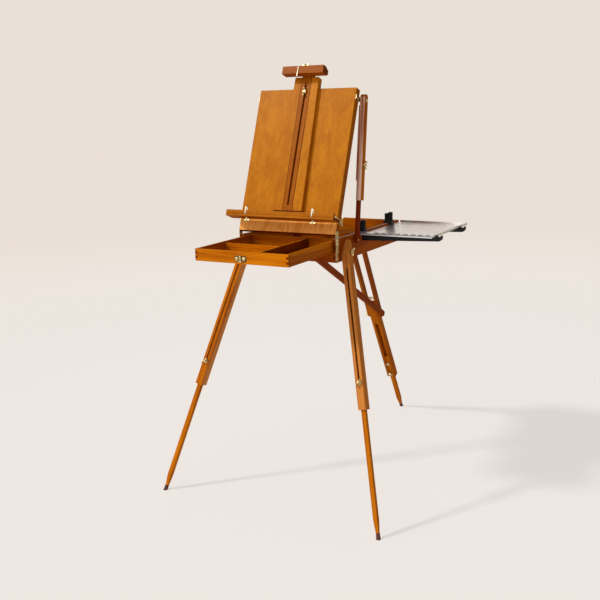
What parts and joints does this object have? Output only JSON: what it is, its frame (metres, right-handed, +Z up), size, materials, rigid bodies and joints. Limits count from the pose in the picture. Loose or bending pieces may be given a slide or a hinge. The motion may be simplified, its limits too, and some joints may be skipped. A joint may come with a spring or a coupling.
{
  "type": "french easel",
  "caption": "French easel: wooden paint box on three telescopic legs with a pulled-out drawer, a leaning lid with sliding mast and canvas ledge, and a side tray.",
  "frame": {"origin": "middle of the whole easel's box, on the floor under it", "axes": "X to the right seen from the painter's side, Y to the back, Z up"},
  "size_m": [0.9494, 1.366, 1.5608],
  "materials": {
    "light_wood": "satin varnished beech",
    "panel_wood": "varnished orange panel",
    "brass": "polished",
    "steel": "zinc plated",
    "tray_metal": "grey satin",
    "black_plastic": "black",
    "rubber": "dark red-brown"
  },
  "bodies": {
    "case": {"case_side_left": "light_wood", "case_side_right": "light_wood", "case_front_rail": "light_wood", "case_back": "light_wood", "case_bottom": "panel_wood", "case_divider": "light_wood", "case_deck": "panel_wood", "drawer_runners": "light_wood", "lid_hinge_bars": "brass", "front_leg_bolts": "brass", "back_leg_hinge": "light_wood", "strut_bracket": "brass"},
    "drawer": {"drawer_front": "light_wood", "drawer_side_left": "light_wood", "drawer_side_right": "light_wood", "drawer_back": "light_wood", "drawer_bottom": "panel_wood", "drawer_dividers": "light_wood", "drawer_latch": "brass"},
    "lid": {"lid_panel": "panel_wood", "lid_frame": "panel_wood", "mast_rail_left": "panel_wood", "mast_rail_right": "panel_wood", "lid_fittings": "brass"},
    "mast": {"mast_bar": "panel_wood", "top_clamp": "panel_wood", "top_retainer": "brass"},
    "mast_nut": {"mast_wing_nut": "brass"},
    "ledge": {"canvas_ledge": "panel_wood", "ledge_fittings": "brass"},
    "fork": {"fork_rail_left": "light_wood", "fork_rail_right": "light_wood", "fork_bolts": "steel"},
    "knee_nut": {"knee_wing_nut": "brass"},
    "lower_leg": {"back_leg_channel": "light_wood", "back_leg_keeper": "brass"},
    "back_inner": {"back_leg_inner": "light_wood", "back_foot": "rubber"},
    "back_knob": {"back_leg_knob": "brass"},
    "strut_front_half": {"strut_upper": "light_wood"},
    "strut_rear_half": {"strut_lower": "light_wood"},
    "tray": {"side_tray": "tray_metal", "tray_arms": "black_plastic", "tray_clamps": "black_plastic"},
    "brace_left": {"brace_channel_left": "light_wood"},
    "post_left": {"brace_post_left": "light_wood"},
    "brace_nut_left": {"brace_wing_nut_left": "brass"},
    "front_leg_left": {"front_leg_channel_left": "light_wood"},
    "inner_leg_left": {"front_leg_inner_left": "light_wood", "front_foot_left": "rubber"},
    "leg_knob_left": {"front_leg_knob_left": "brass"},
    "leg_nut_left": {"front_leg_wing_nut_left": "brass"},
    "brace_right": {"brace_channel_right": "light_wood"},
    "post_right": {"brace_post_right": "light_wood"},
    "brace_nut_right": {"brace_wing_nut_right": "brass"},
    "front_leg_right": {"front_leg_channel_right": "light_wood"},
    "inner_leg_right": {"front_leg_inner_right": "light_wood", "front_foot_right": "rubber"},
    "leg_knob_right": {"front_leg_knob_right": "brass"},
    "leg_nut_right": {"front_leg_wing_nut_right": "brass"}
  },
  "joints": [
    {"name": "drawer_slide", "type": "slide", "parent": "case", "child": "drawer", "axis": [0, 1, 0], "range_m": [0, 0.3045]},
    {"name": "lid_tilt", "type": "hinge", "parent": "case", "child": "lid", "pos_m": [-0.02533, -0.36797, 0.9814], "axis": [-1, 0, 0], "range_deg": [-20.5, 9]},
    {"name": "mast_slide", "type": "slide", "parent": "lid", "child": "mast", "axis": [0, 0.3511, 0.9363], "range_m": [0, 0.39]},
    {"name": "mast_nut_turn", "type": "hinge", "parent": "lid", "child": "mast_nut", "pos_m": [-0.02533, -0.21673, 1.46189], "axis": [0, -0.9363, 0.3511], "range_deg": [0, 180]},
    {"name": "ledge_tilt", "type": "hinge", "parent": "lid", "child": "ledge", "pos_m": [-0.02533, -0.34852, 1.02216], "axis": [1, 0, 0], "range_deg": [0, 25]},
    {"name": "fork_fold", "type": "hinge", "parent": "case", "child": "fork", "pos_m": [-0.02533, 0.19103, 0.866], "axis": [-1, 0, 0], "range_deg": [0, 110]},
    {"name": "knee_nut_turn", "type": "hinge", "parent": "fork", "child": "knee_nut", "pos_m": [-0.02533, 0.37403, 0.5245], "axis": [-1, 0, 0], "range_deg": [0, 180]},
    {"name": "knee_fold", "type": "hinge", "parent": "fork", "child": "lower_leg", "pos_m": [-0.02533, 0.37403, 0.5245], "axis": [1, 0, 0], "range_deg": [0, 163]},
    {"name": "back_inner_slide", "type": "slide", "parent": "lower_leg", "child": "back_inner", "axis": [0, -0.4977, 0.8673], "range_m": [0, 0.195]},
    {"name": "back_knob_turn", "type": "hinge", "parent": "back_inner", "child": "back_knob", "pos_m": [-0.02533, 0.52113, 0.2515], "axis": [0, -0.8673, -0.4977], "range_deg": [0, 180]},
    {"name": "strut_front_turn", "type": "hinge", "parent": "case", "child": "strut_front_half", "pos_m": [-0.02533, -0.23797, 0.867], "axis": [1, 0, 0], "range_deg": [0, 29.6]},
    {"name": "strut_elbow", "type": "hinge", "parent": "strut_front_half", "child": "strut_rear_half", "pos_m": [-0.02533, 0.06803, 0.69575], "axis": [-1, 0, 0], "range_deg": [0, 170.5]},
    {"name": "tray_lift_off", "type": "slide", "parent": "case", "child": "tray", "axis": [0, 0, -1], "range_m": [-0.03, 0]},
    {"name": "brace_turn_left", "type": "hinge", "parent": "lid", "child": "brace_left", "pos_m": [-0.22433, -0.16636, 1.42591], "axis": [-1, 0, 0], "range_deg": [-0.6, 1]},
    {"name": "post_slide_left", "type": "slide", "parent": "brace_left", "child": "post_left", "axis": [0, -0.1243, -0.9922], "range_m": [-0.02378, 0.05288]},
    {"name": "brace_nut_turn_left", "type": "hinge", "parent": "brace_left", "child": "brace_nut_left", "pos_m": [-0.24293, -0.19415, 1.20405], "axis": [-1, 0, 0], "range_deg": [0, 180]},
    {"name": "front_leg_fold_left", "type": "hinge", "parent": "case", "child": "front_leg_left", "pos_m": [-0.23133, -0.31497, 0.914], "axis": [1, 0, 0], "range_deg": [0, 102]},
    {"name": "inner_leg_slide_left", "type": "slide", "parent": "front_leg_left", "child": "inner_leg_left", "axis": [0.2404, 0.2745, 0.931], "range_m": [0, 0.38]},
    {"name": "leg_knob_turn_left", "type": "hinge", "parent": "inner_leg_left", "child": "leg_knob_left", "pos_m": [-0.34192, -0.45737, 0.49047], "axis": [0, -0.9592, 0.2828], "range_deg": [0, 180]},
    {"name": "leg_nut_turn_left", "type": "hinge", "parent": "case", "child": "leg_nut_left", "pos_m": [-0.24683, -0.31497, 0.914], "axis": [-1, 0, 0], "range_deg": [0, 180]},
    {"name": "brace_turn_right", "type": "hinge", "parent": "lid", "child": "brace_right", "pos_m": [0.17367, -0.16636, 1.42591], "axis": [-1, 0, 0], "range_deg": [-0.6, 1]},
    {"name": "post_slide_right", "type": "slide", "parent": "brace_right", "child": "post_right", "axis": [0, -0.1243, -0.9922], "range_m": [-0.02378, 0.05288]},
    {"name": "brace_nut_turn_right", "type": "hinge", "parent": "brace_right", "child": "brace_nut_right", "pos_m": [0.19227, -0.19415, 1.20405], "axis": [1, 0, 0], "range_deg": [0, 180]},
    {"name": "front_leg_fold_right", "type": "hinge", "parent": "case", "child": "front_leg_right", "pos_m": [0.18067, -0.31497, 0.914], "axis": [1, 0, 0], "range_deg": [0, 102]},
    {"name": "inner_leg_slide_right", "type": "slide", "parent": "front_leg_right", "child": "inner_leg_right", "axis": [-0.2404, 0.2745, 0.931], "range_m": [0, 0.38]},
    {"name": "leg_knob_turn_right", "type": "hinge", "parent": "inner_leg_right", "child": "leg_knob_right", "pos_m": [0.29125, -0.45737, 0.49047], "axis": [0, -0.9592, 0.2828], "range_deg": [0, 180]},
    {"name": "leg_nut_turn_right", "type": "hinge", "parent": "case", "child": "leg_nut_right", "pos_m": [0.19617, -0.31497, 0.914], "axis": [1, 0, 0], "range_deg": [0, 180]}
  ],
  "couplings": [
    {"joint": "strut_front_turn", "follows": "fork_fold", "ratio": 0.26576},
    {"joint": "strut_elbow", "follows": "fork_fold", "ratio": 1.5455},
    {"joint": "brace_turn_left", "follows": "lid_tilt", "ratio": -0.048},
    {"joint": "post_slide_left", "follows": "lid_tilt", "m_per_rad": -0.145},
    {"joint": "brace_turn_right", "follows": "lid_tilt", "ratio": -0.048},
    {"joint": "post_slide_right", "follows": "lid_tilt", "m_per_rad": -0.145}
  ]
}
